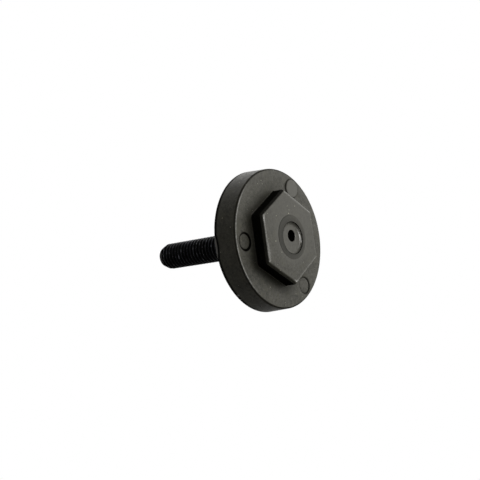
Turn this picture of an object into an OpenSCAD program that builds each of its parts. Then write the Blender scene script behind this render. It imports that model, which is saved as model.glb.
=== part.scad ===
// Blade bolt: a steel bolt with a plastic spanner head and clamping flange moulded over it.
// It stands on its hexagon: the end face of the hexagon is z = 0, and the threaded shank points up.

/* [Flange] */
// Radius of the flange at its front face, on the hexagon's side
flange_r = 20.3; // [17:0.1:26]
// How much wider the rim is at its back edge, the moulding draft
rim_draft = 0.4; // [0:0.1:1]
// Thickness of the flange
flange_t = 7.2; // [6:0.1:12]
// Rounding of the rim's front edge
front_edge_r = 0.5; // [0.2:0.1:1.5]
// Rounding of the rim's back edge
back_edge_r = 0.3; // [0.2:0.1:1.5]

/* [Spanner hexagon] */
// Width across the flats of the moulded hexagon
hex_flats = 24; // [19:0.5:29]
// Height of the hexagon in front of the flange
hex_h = 3.8; // [3:0.1:8]
// Rounding of the hexagon's six corners
hex_corner_r = 0.9; // [0.2:0.1:2]
// How far the bevel reaches in over the hexagon's end face
hex_bevel = 0.5; // [0.1:0.05:0.8]
// How far the bevel reaches down the hexagon's flats
hex_bevel_h = 0.75; // [0.1:0.05:1.2]

/* [Centre of the hexagon] */
// Diameter of the shallow dish round the centre
dish_d = 12.8; // [11:0.2:17]
// How far the dish sits off the bolt's axis, along X and Y
dish_shift = [0.5, 0.5]; // [0:0.1:0.8]
// Depth of that dish at the pocket's edge
dish_depth = 0.15; // [0.05:0.05:0.3]
// Diameter of the pocket's mouth inside the dish
pocket_d = 9.2; // [8:0.2:10.6]
// How far the pocket sits off the bolt's axis, along X and Y
pocket_shift = [0.9, 1]; // [0:0.1:1]
// Depth of the pocket below the hexagon's end face
pocket_depth = 0.8; // [0.8:0.05:1.5]
// Diameter of the flat part of the pocket's floor
pocket_floor_d = 7.4; // [6:0.2:7.8]
// How far the floor curves up from there to the pocket's wall
pocket_floor_rise = 0.45; // [0.1:0.05:0.5]
// Diameter of the hole that the mould's locating pin leaves
pin_hole_d = 3.4; // [2:0.1:4]
// How far that hole sits off the bolt's axis, along X and Y
pin_hole_shift = [1.5, 0.6]; // [0:0.1:1.5]

/* [Ejector pads] */
// Diameter of each round ejector mark on the flange's front face
pad_d = 4.8; // [3:0.1:5.6]
// Distance from each mark's edge to the flange's edge
pad_margin = 1.3; // [1.2:0.1:2]
// How far the pattern of marks sits off the bolt's axis, along X and Y
pad_shift = [0.4, 0.3]; // [0:0.1:0.4]
// Depth of each sunk mark
pad_depth = 0.15; // [0.05:0.05:0.5]
// How much wider the one mark is that stands proud
proud_extra_d = 0.8; // [0:0.1:0.8]
// Height of that mark
pad_rise = 0.25; // [0.05:0.05:0.3]
// Angle of the first of the three marks
pad_angle = 90; // [0:30:330]

/* [Marks on the rim] */
// Angle of the cut-off gate on the rim's back edge
gate_angle = 209; // [0:1:359]
// Radius of the gate's round outline
gate_r = 11; // [6:0.5:16]
// How far the outline reaches from the back edge towards the front
gate_reach = 1.4; // [0.5:0.1:3]
// Depth of the gate's mark below the rim
gate_depth = 0.25; // [0.1:0.05:0.5]
// Angle of the small chip on the rim
chip_angle = 165; // [0:1:359]
// Radius of the ball that cuts the chip
chip_r = 0.7; // [0.4:0.1:1]
// How far the ball's centre lies outside the rim
chip_out = 0.4; // [0:0.05:0.4]
// Distance of the chip's centre from the flange's back face
chip_reach = 0.8; // [0.2:0.1:3]

/* [Steel bolt] */
// Nominal diameter of the thread
bolt_d = 8; // [6:1:10]
// Length of the bolt under its own head
bolt_l = 40; // [30:1:60]
// Width across the flats of the steel head inside the moulding
steel_head_flats = 13; // [10:0.5:16]
// Height of the steel head
steel_head_h = 5.3; // [4:0.1:6.4]
// How far the neck between the steel head and the thread lies below the thread's crests
neck_cut = 0.4; // [0.2:0.05:0.8]
// How far the thread starts inside the moulding
thread_inset = 0.1; // [0.05:0.05:0.5]
// Length of the taper at the shank's tip
tip_l = 2.2; // [1:0.1:4]
// How far the edge of the tip's flat end lies below the thread's crests
tip_cut = 1; // [0.5:0.1:1.6]

/* [Fit] */
// Plastic between the steel head and the flange's back face
back_wall = 1.7; // [1:0.1:3]
// Gap between the steel and the plastic moulded round it
mould_gap = 0.02; // [0.01:0.01:0.1]

/* [Hidden] */

round_fn = 128;
arc_steps = 8;
cut_over = 1;
pad_count = 3;
proud_pad = 2;
rim_cut_fn = 96;

back_z = hex_h + flange_t;
back_r = flange_r + rim_draft;
under_head_z = back_z - back_wall;
steel_head_z = under_head_z - steel_head_h;
thread_z = back_z - thread_inset;
tip_z = under_head_z + bolt_l;
pad_pitch_r = flange_r - pad_margin - pad_d / 2;
bolt_r = bolt_d / 2;
neck_r = bolt_r - neck_cut;

plastic = [0.24, 0.235, 0.215];
black_steel = [0.06, 0.06, 0.07];

// Radius at the corners of a hexagon that is this wide across its flats
function corner_radius(flats) = flats / 2 / cos(30);

// Points of a circular arc about the centre c, from angle a to angle b
function arc(c, r, a, b) = [for (i = [0 : arc_steps]) c + r * [cos(a + (b - a) * i / arc_steps),
                                                              sin(a + (b - a) * i / arc_steps)]];

// Half profile of the flange, from the axis out: front face, rounded rim with its draft, back face
module flange_profile() {
    lean = atan2(rim_draft, flange_t);
    front_c = [flange_r - front_edge_r * tan((90 - lean) / 2), hex_h + front_edge_r];
    back_c = [back_r - back_edge_r * tan((90 + lean) / 2), back_z - back_edge_r];
    polygon(concat([[0, hex_h]],
                   arc(front_c, front_edge_r, -90, -lean),
                   arc(back_c, back_edge_r, -lean, 90),
                   [[0, back_z]]));
}

// Outline of the hexagon, with a corner on +X and its corners rounded
module hex_outline() {
    centre_r = corner_radius(hex_flats) - hex_corner_r / cos(30);
    polygon([for (k = [0 : 5]) each arc(centre_r * [cos(60 * k), sin(60 * k)], hex_corner_r,
                                        60 * k - 30, 60 * k + 30)]);
}

// Hexagon with a bevel round its end face at z = 0: one cut along each flat and one across each corner
module spanner_hex() {
    corner_reach = corner_radius(hex_flats) - hex_corner_r / cos(30) + hex_corner_r;
    difference() {
        linear_extrude(hex_h + front_edge_r) hex_outline();
        for (k = [0 : 11]) {
            reach = k % 2 == 0 ? corner_reach : hex_flats / 2;
            rotate([0, 0, 30 * k]) translate([reach - hex_bevel, 0, 0])
                rotate([0, atan2(hex_bevel, hex_bevel_h), 0])
                translate([0, -hex_flats / 2, -hex_flats / 4])
                cube([hex_flats / 2, hex_flats, hex_flats / 2]);
        }
    }
}

// Everything that is sunk in the hexagon's end face: dish, pocket whose floor curves up to its wall, pin hole
module centre_recess() {
    curve_run = (pocket_d - pocket_floor_d) / 2;
    curve_r = (curve_run ^ 2 + pocket_floor_rise ^ 2) / 2 / pocket_floor_rise;
    curve_c = [pocket_floor_d / 2, pocket_depth - curve_r];
    translate([dish_shift.x, dish_shift.y, 0])
        rotate_extrude($fn = round_fn)
        polygon([[0, -cut_over], [dish_d / 2, -cut_over], [dish_d / 2, 0], [pocket_d / 2, dish_depth],
                 [0, dish_depth]]);
    translate([pocket_shift.x, pocket_shift.y, 0])
        rotate_extrude($fn = round_fn)
        polygon(concat([[0, -cut_over], [pocket_d / 2, -cut_over]],
                       arc(curve_c, curve_r, acos(curve_run / curve_r), 90),
                       [[0, pocket_depth]]));
    translate([pin_hole_shift.x, pin_hole_shift.y, 0])
        cylinder(d = pin_hole_d, h = steel_head_z + mould_gap, $fn = round_fn);
}

// Round disc of diameter d where the k-th ejector pin met the flange's front face, from one height to another
module ejector_pad(k, d, from_z, to_z) {
    turn = pad_angle + 360 / pad_count * k;
    translate([pad_shift.x, pad_shift.y, from_z])
        translate(pad_pitch_r * [cos(turn), sin(turn), 0])
        cylinder(d = d, h = to_z - from_z, $fn = round_fn);
}

// Shallow mark of the cut-off gate: a round outline that follows the rim at one depth
module gate_mark() {
    intersection() {
        rotate([0, 0, gate_angle])
            translate([flange_r - gate_r, 0, back_z + gate_r - gate_reach])
            rotate([0, 90, 0]) cylinder(r = gate_r, h = 2 * gate_r, $fn = rim_cut_fn);
        difference() {
            cylinder(r = back_r + cut_over, h = back_z + cut_over, $fn = round_fn);
            translate([0, 0, -cut_over])
                cylinder(r = back_r - gate_depth, h = back_z + 3 * cut_over, $fn = round_fn);
        }
    }
}

// Small chip broken out of the rim near its back edge
module rim_chip() {
    rotate([0, 0, chip_angle]) translate([back_r + chip_out, 0, back_z - chip_reach])
        sphere(r = chip_r, $fn = 48);
}

// Space that the steel head, its neck and the start of the thread take up in the moulding
module steel_cavity() {
    translate([0, 0, steel_head_z - mould_gap])
        cylinder(r = corner_radius(steel_head_flats + 2 * mould_gap),
                 h = steel_head_h + 2 * mould_gap, $fn = 6);
    translate([0, 0, steel_head_z])
        cylinder(r = neck_r + mould_gap, h = back_z - steel_head_z + cut_over, $fn = round_fn);
    translate([0, 0, thread_z - mould_gap])
        cylinder(r = bolt_r + mould_gap, h = thread_inset + mould_gap + cut_over, $fn = round_fn);
}

// Plastic head: flange and spanner hexagon in one moulding
module moulded_head() {
    color(plastic) difference() {
        union() {
            difference() {
                rotate_extrude($fn = round_fn) flange_profile();
                for (k = [0 : pad_count - 1])
                    if (k != proud_pad) ejector_pad(k, pad_d, hex_h - cut_over, hex_h + pad_depth);
                gate_mark();
                rim_chip();
            }
            ejector_pad(proud_pad, pad_d + proud_extra_d, hex_h - pad_rise, hex_h + cut_over);
            spanner_hex();
        }
        centre_recess();
        steel_cavity();
    }
}

// Steel bolt: hexagon head and neck inside the moulding, shank at the thread's outer diameter, tapered tip
module steel_bolt() {
    color(black_steel) union() {
        translate([0, 0, steel_head_z])
            cylinder(r = corner_radius(steel_head_flats), h = steel_head_h, $fn = 6);
        translate([0, 0, under_head_z - cut_over])
            cylinder(r = neck_r, h = back_wall + 2 * cut_over, $fn = round_fn);
        translate([0, 0, thread_z]) cylinder(r = bolt_r, h = tip_z - tip_l - thread_z, $fn = round_fn);
        translate([0, 0, tip_z - tip_l]) cylinder(r1 = bolt_r, r2 = bolt_r - tip_cut, h = tip_l, $fn = round_fn);
    }
}

moulded_head();
steel_bolt();
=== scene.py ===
"""Blade bolt: a steel bolt whose own head is buried in a nylon flange with a spanner hexagon.

The bolt stands on its hexagon, whose end face is z = 0, and the shank points up. Both pieces are new
skins worked out on grids round the axis: the moulding, with its rounded edges, centre recess, ejector
marks and rim marks, and the bolt, with a true helical thread. Sizes in the classes are in millimetres
and are turned into metres where a mesh is made. Angles in their fields are in degrees from +X.
"""

import logging
import math
from dataclasses import dataclass, field
from enum import Enum

import bmesh
import bpy
import numpy as np
from mathutils import Matrix, Vector


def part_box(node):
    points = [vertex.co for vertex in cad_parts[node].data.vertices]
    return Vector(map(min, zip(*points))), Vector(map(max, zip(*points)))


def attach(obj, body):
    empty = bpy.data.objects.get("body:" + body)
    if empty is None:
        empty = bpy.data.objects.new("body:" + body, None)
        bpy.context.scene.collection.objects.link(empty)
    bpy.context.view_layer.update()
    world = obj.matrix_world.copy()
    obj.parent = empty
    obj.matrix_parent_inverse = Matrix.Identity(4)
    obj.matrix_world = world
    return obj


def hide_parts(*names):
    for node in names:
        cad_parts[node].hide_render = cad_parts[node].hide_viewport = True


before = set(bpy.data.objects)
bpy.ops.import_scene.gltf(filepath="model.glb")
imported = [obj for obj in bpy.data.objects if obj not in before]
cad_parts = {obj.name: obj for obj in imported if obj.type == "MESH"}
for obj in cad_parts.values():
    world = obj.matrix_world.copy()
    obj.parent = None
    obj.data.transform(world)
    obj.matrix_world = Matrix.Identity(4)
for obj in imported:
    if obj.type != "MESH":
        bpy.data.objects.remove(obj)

Array = np.ndarray
Values = np.ndarray | float
Pair = tuple[float, float]
Colour = tuple[float, float, float, float]

MM = 0.001
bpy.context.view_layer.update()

log = logging.getLogger("blade_bolt")


class Node(Enum):
    """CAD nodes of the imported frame."""

    HEAD = "moulded_head"
    BOLT = "steel_bolt"


class Slot(Enum):
    """Material slots of the record."""

    NYLON = "black_nylon"
    STEEL = "black_oxide_steel"


class Mark(Enum):
    """Vertex attributes that tell a finish where it is on a piece, from 0 upwards."""

    # Lighter polished end face, plus a painted sheen that lightens one side of the hexagon, the
    # flange's edge and a proud pad
    FACE = "polish_and_painted_sheen"
    # Dead matt: on the nylon a near-black painted shade on the hexagon's flats and bevel and in the pin
    # hole; on the bolt its own oxide colour on the tip
    WALL = "matt_and_painted_shade"
    # Painted shade on the pocket's lip, over the dish and round the hexagon's foot
    SHADE_PATCH = "dish"
    # Painted shade in lines: the pads' grooves, the rim's roundings, the gate's step and round the chip
    SHADE_LINE = "painted_shade_line"
    GATE = "gate_cut"
    # Real scuffs, and painted highlights on the hexagon's and rim's edges, the pocket's fillet and the
    # pin hole's mouth
    WEAR_AND_HIGHLIGHT = "wear_and_painted_highlight"
    CREST = "thread_crest"


# ---------------------------------------------------------------- curves


def rise(x: Array, low: Values, high: Values) -> Array:
    """Go from 0 at low to 1 at high with level ends; high below low falls instead.

    It is three times the square less twice the cube of the way from low to high, held to 0..1.

    Args:
        x: Where each point is.
        low: Where the rise begins.
        high: Where it is complete.

    Returns:
        The height of the rise at each point.
    """
    t = np.clip((x - low) / (high - low), 0.0, 1.0)
    return t * t * (3.0 - 2.0 * t)


def hump(x: Array) -> Array:
    """Bell of height 1 at x = 0 that is gone at x = 1: the exponential of minus the square of 2x."""
    return np.exp(-((2.0 * x) ** 2))


def between(start: Values, end: Values, share: Array) -> Array:
    """Straight way from start, where share is 0, to end, where it is 1."""
    return start + (end - start) * share


def degrees_from(angle: Array, middle: float) -> Array:
    """Signed distance of angles in radians from a middle in degrees, in degrees from -180 to 180."""
    return np.mod(np.degrees(angle) - middle + 180.0, 360.0) - 180.0


def column(*values: float) -> Array:
    """Stack numbers as one column, so that they broadcast against a row of angles."""
    return np.array(values, float)[:, None]


def sweep(start: float, stop: float, count: int) -> Array:
    """Even steps from start to stop, both included, as a column."""
    return np.linspace(start, stop, count)[:, None]


def quarter(count: int) -> tuple[Array, Array]:
    """Quarter circle of radius 1 as two columns: one less the cosine of even steps, and their sine."""
    turn = sweep(0.0, math.pi / 2, count)
    return 1 - np.cos(turn), np.sin(turn)


def arc(middle_r: float, middle_z: float, edge_r: float, turn: Array) -> tuple[Array, Array]:
    """Radius and height along a rounding: its middle plus edge_r times the cosine and sine of turn."""
    return middle_r + edge_r * np.cos(turn), middle_z + edge_r * np.sin(turn)


@dataclass(frozen=True)
class Patch:
    """Wear, grime or shine that fades as a bell from one angle and is gone half degrees away."""

    middle: float
    half: float
    strength: float

    def at(self, angle: Array) -> Array:
        """Its strength at these angles, in radians."""
        return self.strength * hump(degrees_from(angle, self.middle) / self.half)


@dataclass(frozen=True)
class Stretch:
    """Wear or grime that is at full strength up to full degrees from one angle, and then fades."""

    middle: float
    full: float
    gone: float
    strength: float

    def at(self, angle: Array) -> Array:
        """Its strength at these angles, in radians."""
        return self.strength * rise(np.abs(degrees_from(angle, self.middle)), self.gone, self.full)


@dataclass(frozen=True)
class Wave:
    """Shine or tone that swings as a cosine about its level, and is highest at one angle."""

    middle: float
    level: float
    swing: float

    def at(self, angle: Array) -> Array:
        """Its value at these angles, in radians."""
        return self.level + self.swing * np.cos(angle - math.radians(self.middle))


@dataclass(frozen=True)
class RoundedHexagon:
    """Hexagon with a corner on +X and rounded corners.

    Attributes:
        apothem: Distance from the axis to each flat.
        corner_r: Radius of the rounding at each corner.
    """

    apothem: float
    corner_r: float

    def radius(self, angle: Array, inset: Values = 0.0) -> Array:
        """Distance from the axis to the outline, moved inwards by inset.

        On a flat it is the apothem over the cosine of the angle from the middle of the flat. Near a
        corner it is the far crossing of that direction with the corner's circle.

        Args:
            angle: Angles round the axis, in radians.
            inset: How far the outline is moved towards the axis.

        Returns:
            The distances, with the shape that angle and inset broadcast to.
        """
        half = math.pi / 6.0
        apothem = self.apothem - inset
        corner_r = np.maximum(self.corner_r - inset, 0.0)
        centre = (apothem - corner_r) / math.cos(half)
        off = np.mod(angle + half, 2.0 * half) - half
        reach = np.arctan2(corner_r * math.sin(half), centre + corner_r * math.cos(half))
        flat = apothem / np.cos(half - np.abs(off))
        inside = np.maximum(corner_r**2 - (centre * np.sin(off)) ** 2, 0.0)
        return np.where(np.abs(off) < reach, centre * np.cos(off) + np.sqrt(inside), flat)


# ---------------------------------------------------------------- meshes


class RingStack:
    """Rings of points round the axis, in the order in which they are joined into one skin.

    The point on ring i at angle a is (r cos a + cx, r sin a + cy, z).

    Attributes:
        angle: Angles of the columns as a row, in radians.
    """

    def __init__(self, angles: Array) -> None:
        """Start an empty stack over these angles, in radians and in rising order."""
        self.angle = angles[None, :]
        self._points: list[Array] = []
        self._marks: list[dict[Mark, Array]] = []

    def add(
        self,
        radius: Values,
        height: Values,
        centre: tuple[Values, Values] = (0.0, 0.0),
        marks: dict[Mark, Values] | None = None,
    ) -> None:
        """Add rings. Every value is given as rings by angles, or as what broadcasts to that.

        Args:
            radius: Distance of each point from its ring's centre.
            height: Height of each point.
            centre: Where the ring's centre is in X and in Y.
            marks: Values of the vertex attributes. What isn't named is 0.
        """
        rings = np.broadcast(radius, height, self.angle).shape
        x = radius * np.cos(self.angle) + centre[0]
        y = radius * np.sin(self.angle) + centre[1]
        self._points.append(np.stack([np.broadcast_to(v, rings) for v in (x, y, height)], axis=-1))
        self._marks.append({k: np.broadcast_to(v, rings) for k, v in (marks or {}).items()})

    def count(self) -> int:
        """Number of rings so far."""
        return sum(len(part) for part in self._points)

    def points(self) -> Array:
        """All points, as n by three."""
        return np.concatenate(self._points).reshape(-1, 3)

    def marks(self) -> dict[Mark, Array]:
        """Each attribute that a ring states, over all rings, and 0 where a ring doesn't state it."""
        blank = [np.zeros(part.shape[:2]) for part in self._points]
        stated = [mark for mark in Mark if any(mark in part for part in self._marks)]
        return {m: np.concatenate([p.get(m, b) for p, b in zip(self._marks, blank)]) for m in stated}


def grid_faces(rings: int, columns: int, seam_shift: int = 0, close_rings: bool = False) -> Array:
    """Four-sided faces between neighbouring rings, closed round the axis.

    Face (i, j) joins points (i, j), (i, j + 1), (i + 1, j + 1) and (i + 1, j). Past the last column it
    goes on at column 0, seam_shift rings further on, which is how a helix closes.

    Args:
        rings: Number of rings.
        columns: Number of points on each ring.
        seam_shift: Rings by which column 0 is ahead where a turn is complete.
        close_rings: Whether the last ring is joined to the first.

    Returns:
        Vertex numbers as faces by four.
    """
    rows = np.arange(rings if close_rings else rings - 1)
    i, j = np.meshgrid(rows, np.arange(columns), indexing="ij")
    wrapped = (j + 1 == columns) * seam_shift
    corners = ((i, j), (i + wrapped, j + 1), (i + 1 + wrapped, j + 1), (i + 1, j))
    numbers = [(r % rings if close_rings else r) * columns + c % columns for r, c in corners]
    inside = numbers[2].ravel() < rings * columns
    return np.stack([n.ravel() for n in numbers], axis=-1)[inside]


def make_piece(
    name: str, rings: RingStack, faces: Array, material: bpy.types.Material
) -> bpy.types.Object:
    """Make one smooth-shaded object from a stack of rings, with its vertex attributes and its material.

    Points that lie on each other are merged, and faces that lose their area with it are dropped.

    Args:
        name: Name of the object.
        rings: Its points, in millimetres, and their marks.
        faces: Vertex numbers as faces by four.
        material: Its finish.

    Returns:
        The object, linked to the scene, with its place in its mesh.
    """
    mesh = bpy.data.meshes.new(name)
    mesh.from_pydata((rings.points() * MM).tolist(), [], faces.tolist())
    for mark, values in rings.marks().items():
        layer = mesh.attributes.new(mark.value, "FLOAT", "POINT")
        layer.data.foreach_set("value", values.astype(np.float32).ravel())
    work = bmesh.new()
    work.from_mesh(mesh)
    bmesh.ops.remove_doubles(work, verts=work.verts, dist=1e-7)
    bmesh.ops.dissolve_degenerate(work, edges=work.edges, dist=1e-8)
    work.to_mesh(mesh)
    work.free()
    mesh.shade_smooth()
    mesh.materials.append(material)
    piece = bpy.data.objects.new(name, mesh)
    bpy.context.scene.collection.objects.link(piece)
    return piece


# ---------------------------------------------------------------- shader maths


class Signal:
    """A shader socket that Python arithmetic can be written on: each operator adds one Math node."""

    def __init__(self, graph: "Graph", socket: bpy.types.NodeSocket) -> None:
        """Wrap an output socket of a graph."""
        self.graph = graph
        self.socket = socket

    def math(self, operation: str, other: "Signal | float") -> "Signal":
        """Add a Math node over this signal and another value."""
        return self.graph.calculate(operation, self, other)

    def __add__(self, other: "Signal | float") -> "Signal":
        """Sum."""
        return self.math("ADD", other)

    __radd__ = __add__

    def __mul__(self, other: "Signal | float") -> "Signal":
        """Product."""
        return self.math("MULTIPLY", other)

    __rmul__ = __mul__

    def __sub__(self, other: "Signal | float") -> "Signal":
        """Difference."""
        return self.math("SUBTRACT", other)

    def __rsub__(self, other: float) -> "Signal":
        """Difference from a number."""
        return self.graph.calculate("SUBTRACT", other, self)

    def __pow__(self, other: float) -> "Signal":
        """Power."""
        return self.math("POWER", other)

    def rise(self, low: float, high: float) -> "Signal":
        """Go from 0 at low to 1 at high, held outside; high below low falls instead."""
        return self.graph.calculate("MULTIPLY", self - low, 1.0 / (high - low), clamp=True)


@dataclass(frozen=True)
class Specks:
    """Scattered round specks: one in each cell of a cell pattern, kept in a share of the cells.

    Attributes:
        spacing: Distance between cells, in millimetres.
        size: Radius of the largest speck, in millimetres.
        share: Share of the cells that hold one.
        seed: Shift in metres, which picks another pattern.
    """

    spacing: float
    size: float
    share: float
    seed: float


class Graph:
    """Node tree of a material or of the world, emptied, and the nodes that the finishes add to it."""

    def __init__(self, tree: bpy.types.NodeTree) -> None:
        """Empty a node tree and keep it."""
        self.tree = tree
        tree.nodes.clear()

    def add(self, kind: str, inputs: dict[str | int, object], **settings: object) -> bpy.types.Node:
        """Add any node: its settings first, then the values or links of its sockets.

        Args:
            kind: The node's type.
            inputs: A Signal or a value for each socket, by name, identifier or number.
            settings: Properties of the node.

        Returns:
            The node.
        """
        node = self.tree.nodes.new(kind)
        for name, value in settings.items():
            setattr(node, name, value)
        for key, value in inputs.items():
            found = [s for n, s in enumerate(node.inputs) if key in (n, s.identifier)]
            socket = found[0] if found else node.inputs[key]
            if isinstance(value, Signal):
                self.tree.links.new(value.socket, socket)
            else:
                socket.default_value = value
        return node

    def read(
        self, kind: str, output: int | str = 0, inputs: dict | None = None, **settings: object
    ) -> Signal:
        """Add a node as add() does and return one of its outputs as a signal."""
        return Signal(self, self.add(kind, inputs or {}, **settings).outputs[output])

    def calculate(self, operation: str, *values: Signal | float, clamp: bool = False) -> Signal:
        """Add a Math node over these values."""
        inputs = dict(enumerate(values))
        return self.read("ShaderNodeMath", inputs=inputs, operation=operation, use_clamp=clamp)

    def vector_math(self, operation: str, first: Signal, second: object, output: str) -> Signal:
        """Add a Vector Math node over two vectors and return one of its outputs."""
        return self.read("ShaderNodeVectorMath", output, {0: first, 1: second}, operation=operation)

    def place(self) -> Signal:
        """Object coordinates, in metres."""
        return self.read("ShaderNodeTexCoord", "Object")

    def mark(self, mark: Mark) -> Signal:
        """A vertex attribute."""
        return self.read("ShaderNodeAttribute", "Fac", attribute_name=mark.value)

    def noise(self, size: float, detail: float = 2.0, rough: float = 0.5, seed: float = 0.0) -> Signal:
        """Soft noise around 0.5.

        Args:
            size: Size of its largest features, in millimetres.
            detail: Number of finer layers.
            rough: Strength of each finer layer against the last.
            seed: Fourth coordinate, which picks another pattern.

        Returns:
            The noise value.
        """
        inputs = {"Vector": self.place(), "W": seed, "Scale": 1.0 / (size * MM)}
        inputs |= {"Detail": detail, "Roughness": rough}
        return self.read("ShaderNodeTexNoise", inputs=inputs, noise_dimensions="4D")

    def specks(self, kind: Specks) -> Signal:
        """Draw specks whose size comes from each cell's own random colour.

        Args:
            kind: Their sizes and their share.

        Returns:
            1 on a speck and 0 elsewhere.
        """
        moved = self.vector_math("ADD", self.place(), (kind.seed, 0.0, 0.0), "Vector")
        scale = 1.0 / (kind.spacing * MM)
        cells = self.add("ShaderNodeTexVoronoi", {"Vector": moved, "Scale": scale})
        colour = Signal(self, cells.outputs["Color"])
        lot = self.read("ShaderNodeSeparateColor", inputs={"Color": colour})
        largest = kind.size / kind.spacing
        reach = (lot.rise(1.0 - kind.share, 1.0) ** 0.5) * largest
        return (reach - Signal(self, cells.outputs["Distance"])).rise(0.0, 0.3 * largest)

    def mix(self, share: Signal | float, low: tuple | Signal, high: tuple | Signal) -> Signal:
        """Mix two colours: low where share is 0 and high where it is 1."""
        inputs = {"Factor_Float": share, "A_Color": low, "B_Color": high}
        return self.read("ShaderNodeMix", 2, inputs, data_type="RGBA")

    def bump(self, height: Signal, distance: float, strength: float) -> Signal:
        """Turn a height into a normal; distance is what a height of 1 stands for, in millimetres."""
        inputs = {"Strength": strength, "Distance": distance * MM, "Height": height}
        return self.read("ShaderNodeBump", inputs=inputs)

    def finish(self, share: Signal, main: Signal, matt: tuple) -> None:
        """End a material: its main shader, turning by this share into a dead matt one of one colour."""
        dull = self.read("ShaderNodeBsdfDiffuse", inputs={"Color": matt, "Roughness": 1.0})
        surface = self.read("ShaderNodeMixShader", inputs={0: share, 1: main, 2: dull})
        self.add("ShaderNodeOutputMaterial", {"Surface": surface})


def rgb(red: float, green: float, blue: float) -> Colour:
    """A linear colour with full alpha."""
    return (red, green, blue, 1.0)


def new_material(name: str) -> tuple[bpy.types.Material, Graph]:
    """Make a material and the empty graph of its nodes."""
    made = bpy.data.materials.new(name)
    made.use_nodes = True
    return made, Graph(made.node_tree)


# ---------------------------------------------------------------- finishes


@dataclass(frozen=True)
class MouldedNylon:
    """Black nylon as it leaves the mould: fine matt grain, flow mottling, scuffs and dust, with painted
    sheen, highlights and shade.

    Attributes:
        dark: Colour in the darker mottles.
        light: Colour in the lighter mottles.
        olive: Colour of the faint stains.
        polish_and_sheen: Colour where the mould was smoother, on the hexagon's end face, which also
            paints the sheen on one side of the hexagon, the flange's edge and a proud pad.
        cut: Colour of the cut-off gate.
        scuff_and_highlight: Colour of rubbed edges and of the painted highlights on edges, the pocket's
            fillet and the pin hole's mouth.
        dust: Colour of the specks.
        painted_shade_colour: Colour of the painted shade in grooves, corners, recesses and along the
            rim's edges.
        cloud_size: Size of the broad mottles, in millimetres.
        mottle_size: Size of the fine mottles, in millimetres.
        stain_size: Size of the faint stains, in millimetres.
        bare_size: Size of the rubbed places along a worn edge, in millimetres.
        grain_size: Size of the moulded grain, in millimetres.
        grain_depth: Height of the moulded grain, in millimetres.
        roughness: Mean roughness of the clean surface.
        specular: Strength of its reflections.
        sheen_tint: Colour of its reflections.
        scuff_ior: Refractive index of the rubbed gloss, which makes it bright.
        scuff_roughness: Roughness of that gloss.
        coarse_dust: The larger specks of dust.
        fine_dust: The smaller ones.
    """

    dark: Colour = rgb(0.034, 0.0325, 0.024)
    light: Colour = rgb(0.121, 0.116, 0.090)
    olive: Colour = rgb(0.103, 0.099, 0.064)
    polish_and_sheen: Colour = rgb(0.160, 0.155, 0.132)
    cut: Colour = rgb(0.240, 0.235, 0.220)
    scuff_and_highlight: Colour = rgb(0.480, 0.465, 0.410)
    dust: Colour = rgb(0.85, 0.82, 0.62)
    painted_shade_colour: Colour = rgb(0.004, 0.004, 0.003)
    cloud_size: float = 6.0
    mottle_size: float = 0.9
    stain_size: float = 2.6
    bare_size: float = 0.5
    grain_size: float = 0.26
    grain_depth: float = 0.012
    roughness: float = 0.50
    specular: float = 0.3
    sheen_tint: Colour = rgb(1.0, 0.98, 0.90)
    scuff_ior: float = 2.0
    scuff_roughness: float = 0.24
    coarse_dust: Specks = Specks(2.1, 0.19, 0.38, 0.5)
    fine_dust: Specks = Specks(0.9, 0.11, 0.30, 0.7)

    def material(self) -> bpy.types.Material:
        """Build the material.

        Returns:
            The material, whose colour, roughness and bump all vary over the surface.
        """
        made, g = new_material("moulded_black_nylon")
        cloud = g.noise(self.cloud_size, detail=3.0, seed=1.0)
        mottle = g.noise(self.mottle_size, detail=3.0, rough=0.65, seed=2.0)
        grain = g.noise(self.grain_size, rough=0.6, seed=3.0)
        stain = g.noise(self.stain_size, detail=3.0, rough=0.6, seed=7.0).rise(0.50, 0.66)
        bare = g.noise(self.bare_size, detail=4.0, rough=0.7, seed=4.0).rise(0.40, 0.62)
        # Scuffs and painted highlights lighten the colour and add a smooth bright coat
        wear_and_highlight = (g.mark(Mark.WEAR_AND_HIGHLIGHT) * (0.20 + 0.80 * bare)).math("MINIMUM", 1.0)
        dusty = g.specks(self.coarse_dust).math("MAXIMUM", g.specks(self.fine_dust))
        tone = (0.25 * cloud + 0.4 * mottle + 0.35 * grain).rise(0.37, 0.63)
        colour = g.mix(tone, self.dark, self.light)
        layers = (
            (stain * 0.5, self.olive),
            # Polished end face and painted sheen
            (g.mark(Mark.FACE) * 0.6, self.polish_and_sheen),
            (g.mark(Mark.GATE), self.cut),
            (wear_and_highlight, self.scuff_and_highlight),
            (dusty, self.dust),
        )
        for share, top in layers:
            colour = g.mix(share, colour, top)
        even = (self.roughness + 0.20) - 0.40 * (0.5 * mottle + 0.5 * grain)
        height = grain + 0.6 * mottle + 2.0 * dusty - 0.8 * bare * g.mark(Mark.WEAR_AND_HIGHLIGHT)
        plastic = g.read(
            "ShaderNodeBsdfPrincipled",
            inputs={
                "Base Color": colour,
                "Roughness": even - 0.22 * wear_and_highlight + 0.2 * dusty,
                "Specular IOR Level": self.specular,
                "Specular Tint": self.sheen_tint,
                "Coat Weight": wear_and_highlight,
                "Coat Roughness": self.scuff_roughness,
                "Coat IOR": self.scuff_ior,
                "Normal": g.bump(height, self.grain_depth, 0.8),
            },
        )
        # Painted shade: where the shade marks are high the nylon turns into a near-black dead matt
        painted_shade = g.mark(Mark.SHADE_LINE).math("MAXIMUM", g.mark(Mark.WALL) * 0.92)
        painted_shade = painted_shade.math("MAXIMUM", g.mark(Mark.SHADE_PATCH) * (0.7 + 0.6 * mottle))
        g.finish(painted_shade, plastic, self.painted_shade_colour)
        return made


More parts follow.
